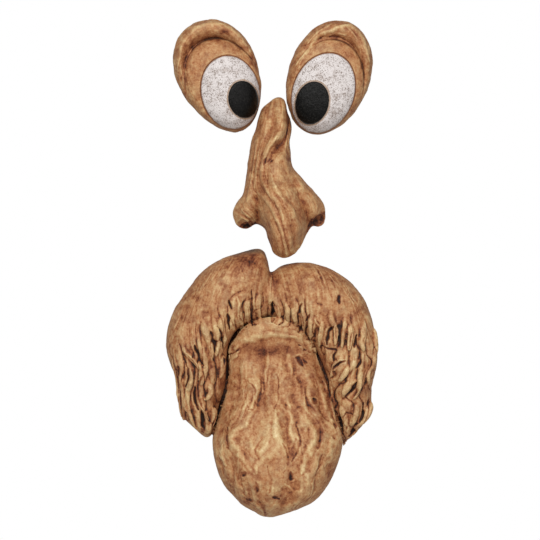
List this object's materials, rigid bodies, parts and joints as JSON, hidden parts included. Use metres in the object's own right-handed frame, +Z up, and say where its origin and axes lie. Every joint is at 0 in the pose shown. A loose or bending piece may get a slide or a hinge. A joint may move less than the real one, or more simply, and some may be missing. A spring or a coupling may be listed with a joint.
{
  "type": "tree face sculpture",
  "caption": "Carved-wood-look garden tree face: hooded staring eyes, a long twisted nose and a drooping moustache over a bearded chin, flat-backed castings that hang on a trunk or wall.",
  "frame": {"origin": "middle of the mouth's flat back, on the trunk or wall plane", "axes": "-Y is the way the face looks, +Y into the trunk or wall, +Z up, +X to the right as the face is seen from the front"},
  "size_m": [0.1496, 0.0486, 0.3492],
  "materials": {
    "left_eye": "painted cast resin, tan brow with a white eyeball and a black pupil",
    "right_eye": "painted cast resin, tan brow with a white eyeball and a black pupil",
    "nose": "painted cast resin with a dark brown wash in the carving",
    "mouth": "painted cast resin with a dark brown wash in the carving"
  },
  "bodies": {
    "root": {"left_eye": "left_eye", "right_eye": "right_eye", "nose": "nose", "mouth": "mouth"}
  },
  "joints": []
}
